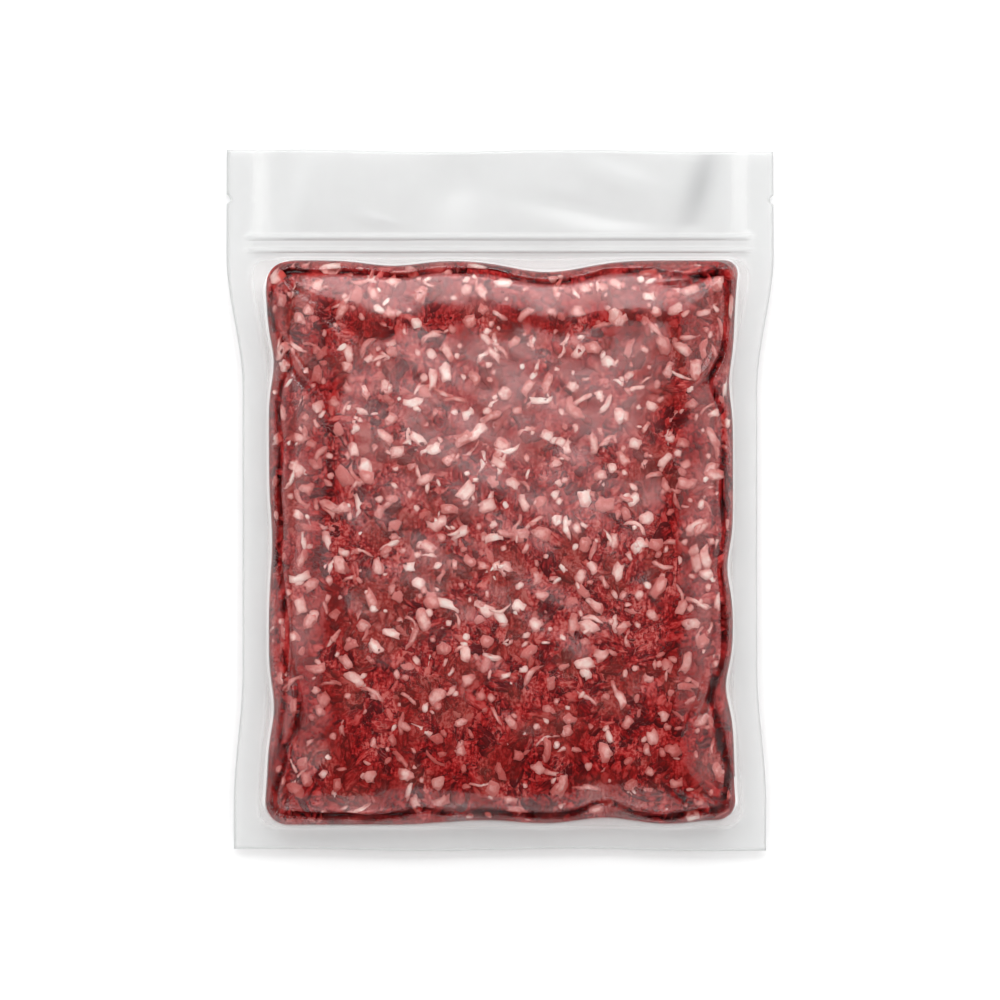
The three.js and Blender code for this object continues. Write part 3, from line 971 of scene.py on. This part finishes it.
def piece_tone_group():
    """How light a piece of mince is: its own tone, uneven inside it and darker towards its edge."""
    inputs = (("Unevenness", FLOAT, 0), ("Rim", FLOAT, 0.5), ("Rim Start", FLOAT, 0.4))
    group, nodes, links, given, result = node_group("piece_tone", inputs, "Tone", FLOAT)
    tone = attribute(nodes, "tone").outputs["Fac"]
    edge = attribute(nodes, "edge").outputs["Fac"]
    painted_rim = remapped(nodes, links, edge, given["Rim Start"], 1.0, 0.0, given["Rim"])
    lit = maths(nodes, links, "SUBTRACT", tone, painted_rim)
    links.new(maths(nodes, links, "ADD", lit, given["Unevenness"], True), result)
    return group


def soaking_and_shade_group():
    """A colour seen through juice of the given tint, where juice, with painted shade, has gathered.
    """
    inputs = (
        ("Colour", COLOUR, (1, 1, 1, 1)), ("Tint", COLOUR, (1, 0, 0, 1)), ("Strength", FLOAT, 1),
    )
    group, nodes, links, given, result = node_group("soaking_and_shade", inputs, "Colour", COLOUR)
    juice_and_shade_share = attribute(nodes, "juice_and_shade").outputs["Fac"]
    share = maths(nodes, links, "MULTIPLY", juice_and_shade_share, given["Strength"], True)
    links.new(mix_colour(nodes, links, share, given["Colour"], given["Tint"], "MULTIPLY"), result)
    return group


cloudiness = cloudiness_group()
piece_tone = piece_tone_group()
soaking_and_shade = soaking_and_shade_group()


def translucent(shader):
    """Meat lets light in, and shines little, because the film on it shines instead."""
    shader.inputs["Specular IOR Level"].default_value = 0.06
    shader.subsurface_method = "BURLEY"
    shader.inputs["Subsurface Weight"].default_value = 0.35
    shader.inputs["Subsurface Radius"].default_value = (1.0, 0.4, 0.3)
    shader.inputs["Subsurface Scale"].default_value = 0.0011


def lean_material():
    material, nodes, links, shader = new_material("lean")
    grain = attribute(nodes, "grain").outputs["Vector"]
    along_grain = stretched(nodes, links, grain, (0.3, 1.1, 1.1))
    fibres = noise(nodes, links, along_grain, scale=1.0, detail=2.0)
    mottle = noise(nodes, links, grain, scale=0.45, detail=2.5)
    uneven = maths(nodes, links, "SUBTRACT", maths(nodes, links, "ADD", fibres, mottle), 1.0)
    uneven = maths(nodes, links, "MULTIPLY", uneven, 2.0)
    tone = placed(nodes, links, piece_tone, Unevenness=uneven, Rim=0.5, Rim_Start=0.5)
    meat = colour_ramp(nodes, links, tone, LEAN_STOPS)
    long_grain = stretched(nodes, links, grain, (0.5, 1, 1))
    # Thin pale lines along the grain.
    pale_lines = noise(nodes, links, long_grain, scale=0.45, detail=1.0)
    meat = mix_colour(nodes, links, colour_ramp(nodes, links, pale_lines, PALE_LINE_STOPS), meat, PALE_LINE_COLOUR)
    patches = placed(nodes, links, cloudiness, Scale=75.0, Detail=1.0)
    brown = colour_ramp(nodes, links, patches, BROWN_STOPS)
    meat = mix_colour(nodes, links, brown, meat, BROWN_MEAT)
    # Lighter meat where the film lies dry, partly a painted haze of reflected light.
    dry_and_haze = maths(nodes, links, "MULTIPLY", attribute(nodes, "dry_and_haze").outputs["Fac"], 0.5)
    meat = mix_colour(nodes, links, dry_and_haze, meat, DRY_AND_HAZED_MEAT)
    # Juice, with painted shade in the tuck, the creases and the band inside the shoulder.
    juice_and_shade_tint = colour_ramp(nodes, links, attribute(nodes, "juice_and_shade").outputs["Fac"], JUICE_AND_SHADE_STOPS)
    meat = placed(nodes, links, soaking_and_shade, Colour=meat, Tint=juice_and_shade_tint, Strength=1.6)
    links.new(meat, shader.inputs["Base Color"])
    shader.inputs["Roughness"].default_value = 0.42
    translucent(shader)
    bumped(nodes, links, shader, fibres, distance=0.0004, strength=0.45)
    return material


def fat_material():
    material, nodes, links, shader = new_material("fat")
    grain = attribute(nodes, "grain").outputs["Vector"]
    mottle = noise(nodes, links, grain, scale=0.6, detail=3.0)
    uneven = maths(nodes, links, "MULTIPLY", maths(nodes, links, "SUBTRACT", mottle, 0.5), 1.2)
    tone = placed(nodes, links, piece_tone, Unevenness=uneven, Rim=0.6, Rim_Start=0.5)
    fat = colour_ramp(nodes, links, tone, FAT_STOPS)
    # Juice, with painted shade in the tuck, the creases and the band inside the shoulder.
    fat = placed(nodes, links, soaking_and_shade, Colour=fat, Tint=SOAKED_AND_SHADED_FAT, Strength=1.25)
    links.new(fat, shader.inputs["Base Color"])
    shader.inputs["Roughness"].default_value = 0.45
    translucent(shader)
    bumped(nodes, links, shader, mottle, distance=0.0003, strength=0.5)
    return material


def film_window_material():
    """The clear film over the meat: part of each ray passes it straight, the rest meets gloss."""
    material, nodes, links, shader = new_material("film_window")
    crease_juice_and_shade = attribute(nodes, "crease_juice_and_shade").outputs["Fac"]
    # Dark juice and painted shade in the creases.
    links.new(colour_ramp(nodes, links, crease_juice_and_shade, FILM_AND_CREASE_SHADE_STOPS), shader.inputs["Base Color"])
    shader.inputs["Transmission Weight"].default_value = 1.0
    shader.inputs["IOR"].default_value = 2.0
    shader.inputs["Roughness"].default_value = 0.15
    uneven = placed(nodes, links, cloudiness, Scale=120.0, Detail=2.0, Lowest=0.85, Highest=1.0)
    cover = attribute(nodes, "cover").outputs["Fac"]
    links.new(maths(nodes, links, "MULTIPLY", cover, uneven), shader.inputs["Alpha"])
    waves_up = placed(nodes, links, cloudiness, Scale=210.0, Detail=0.0)
    bumped(nodes, links, shader, waves_up, distance=0.00008, strength=0.5)
    return material


def film_border_material():
    """Milky where the two films are welded, clearer between the weld and the block; painted
    highlight and shade.
    """
    material, nodes, links, shader = new_material("film_border")
    clear = attribute(nodes, "clear").outputs["Fac"]
    cut = attribute(nodes, "cut_edge").outputs["Fac"]
    weld = remapped(nodes, links, clear, 0.0, 1.0, WELD_COVER, LOOSE_COVER)
    # The painted white highlight close to the block.
    painted_rim = maths(nodes, links, "MULTIPLY", attribute(nodes, "painted_rim").outputs["Fac"], RIM_COVER)
    alpha = maths(nodes, links, "MAXIMUM", maths(nodes, links, "MAXIMUM", weld, painted_rim), cut)
    uneven = placed(nodes, links, cloudiness, Scale=30.0, Detail=3.0, Lowest=0.9, Highest=1.0)
    links.new(maths(nodes, links, "MULTIPLY", alpha, uneven), shader.inputs["Alpha"])
    milky = colour_ramp(nodes, links, clear, MILKY_STOPS)
    # Painted shade on the head's creases.
    painted_fold_shade = attribute(nodes, "painted_fold_shade").outputs["Fac"]
    milky = mix_colour(nodes, links, painted_fold_shade, milky, FOLD_PAINTED_SHADE)
    links.new(mix_colour(nodes, links, cut, milky, CUT_GREY), shader.inputs["Base Color"])
    shader.inputs["Roughness"].default_value = 0.28
    shader.inputs["IOR"].default_value = 1.8
    return material


def zip_material():
    material, nodes, links, shader = new_material("zip_plastic")
    shade = placed(nodes, links, cloudiness, Scale=60.0, Detail=2.0, Lowest=0.8, Highest=0.88)
    links.new(shade, shader.inputs["Base Color"])
    shader.inputs["Roughness"].default_value = 0.35
    shader.inputs["Alpha"].default_value = 0.14
    return material


# The floor, the lights and the camera.

FLOOR_GAP, FLOOR_HALF, FLOOR_WHITE = 0.0002, 2, (0.97, 0.97, 0.97, 1)
FRAME_WIDTH, CAMERA_HEIGHT, SENSOR_WIDTH = 0.3297, 1.2, 36
ROOM_STOPS, ROOM_STRENGTH = ((0.3, (1, 1, 1)), (0.5, (0.03, 0.03, 0.03))), 1.2
HEAD_SIDE, FOOT_SIDE, LEFT_SIDE, RIGHT_SIDE = (0, 1), (0, -1), (-1, 0), (1, 0)
# Name, side, tilt in degrees, distance, size and radiance. The three overhead ones lie over each
# other, so that their light fades towards its edge.
SOFTBOXES = (
    ("head_wall", HEAD_SIDE, 50, 1.3, (1.6, 1.05), 3.6),
    ("left_wall", LEFT_SIDE, 34, 1.3, (1.4, 0.8), 1.32),
    ("right_wall", RIGHT_SIDE, 41, 1.3, (1.4, 0.9), 1.2),
    ("foot_wall", FOOT_SIDE, 60, 1.3, (1.4, 0.75), 1.65),
    ("overhead", HEAD_SIDE, 6.5, 2.0, (0.32, 0.2), 1.2),
    ("overhead_wider", HEAD_SIDE, 6, 2.02, (0.4, 0.32), 1.1),
    ("overhead_widest", HEAD_SIDE, 5, 2.04, (0.48, 0.44), 0.9),
)


def white_floor():
    bm = bmesh.new()
    bmesh.ops.create_grid(bm, x_segments=1, y_segments=1, size=FLOOR_HALF)
    bmesh.ops.translate(bm, vec=(0, 0, -FLOOR_GAP), verts=bm.verts)
    mesh = bpy.data.meshes.new("floor")
    bm.to_mesh(mesh)
    bm.free()
    floor = bpy.data.objects.new("floor", mesh)
    bpy.context.scene.collection.objects.link(floor)
    material, nodes, links, shader = new_material("floor_white")
    shader.inputs["Base Color"].default_value = FLOOR_WHITE
    shader.inputs["Roughness"].default_value = 0.9
    mesh.materials.append(material)


def softbox(name, side, tilt, distance, size, radiance):
    """A rectangle light that looks at the pouch from `tilt` degrees off straight up, on one side.

    Its size is [along the pouch's edge on that side, from low to high].
    """
    tilt = math.radians(tilt)
    light = bpy.data.lights.new(name, "AREA")
    light.shape = "RECTANGLE"
    light.size, light.size_y = size
    light.energy = radiance * math.pi * size[0] * size[1]
    lamp = bpy.data.objects.new(name, light)
    away = Vector((side[0] * math.sin(tilt), side[1] * math.sin(tilt), math.cos(tilt)))
    along = Vector((-side[1], side[0], 0))
    lamp.matrix_world = Matrix((along, away.cross(along), away)).transposed().to_4x4()
    lamp.location = away * distance
    bpy.context.scene.collection.objects.link(lamp)


def lights():
    for row in SOFTBOXES:
        softbox(*row)


def studio():
    """A room whose light comes from low down all round, and whose ceiling is dark."""
    world = bpy.data.worlds.new("studio")
    world.use_nodes = True
    nodes, links = world.node_tree.nodes, world.node_tree.links
    way = nodes.new("ShaderNodeTexCoord").outputs["Generated"]
    axes = nodes.new("ShaderNodeSeparateXYZ")
    links.new(way, axes.inputs["Vector"])
    colour = colour_ramp(nodes, links, axes.outputs["Z"], ROOM_STOPS)
    nodes["Background"].inputs["Strength"].default_value = ROOM_STRENGTH
    links.new(colour, nodes["Background"].inputs["Color"])
    bpy.context.scene.world = world


def camera():
    data = bpy.data.cameras.new("camera")
    data.sensor_width = SENSOR_WIDTH
    data.lens = SENSOR_WIDTH * CAMERA_HEIGHT / FRAME_WIDTH
    cam = bpy.data.objects.new("camera", data)
    cam.location = (0, 0, CAMERA_HEIGHT)
    bpy.context.scene.collection.objects.link(cam)
    bpy.context.scene.camera = cam


bpy.context.scene.view_settings.view_transform = "Standard"
camera()
lights()
studio()
white_floor()

film_materials = [film_window_material(), film_border_material()]
film = new_object("film", film_mesh(), film_materials)
mark_welds(film.data)
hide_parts("pouch")
lean = lean_material()
new_object("mince_core", core_mesh(), [lean])
new_object("lean_strands", lean_mesh(), [lean])
new_object("lean_strands_back", lean_back_mesh(), [lean])
fat = fat_material()
new_object("fat_bits", fat_mesh(), [fat])
new_object("fat_crumbs", fat_crumbs_mesh(), [fat])
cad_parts["zip_strip"].material_slots[0].material = zip_material()
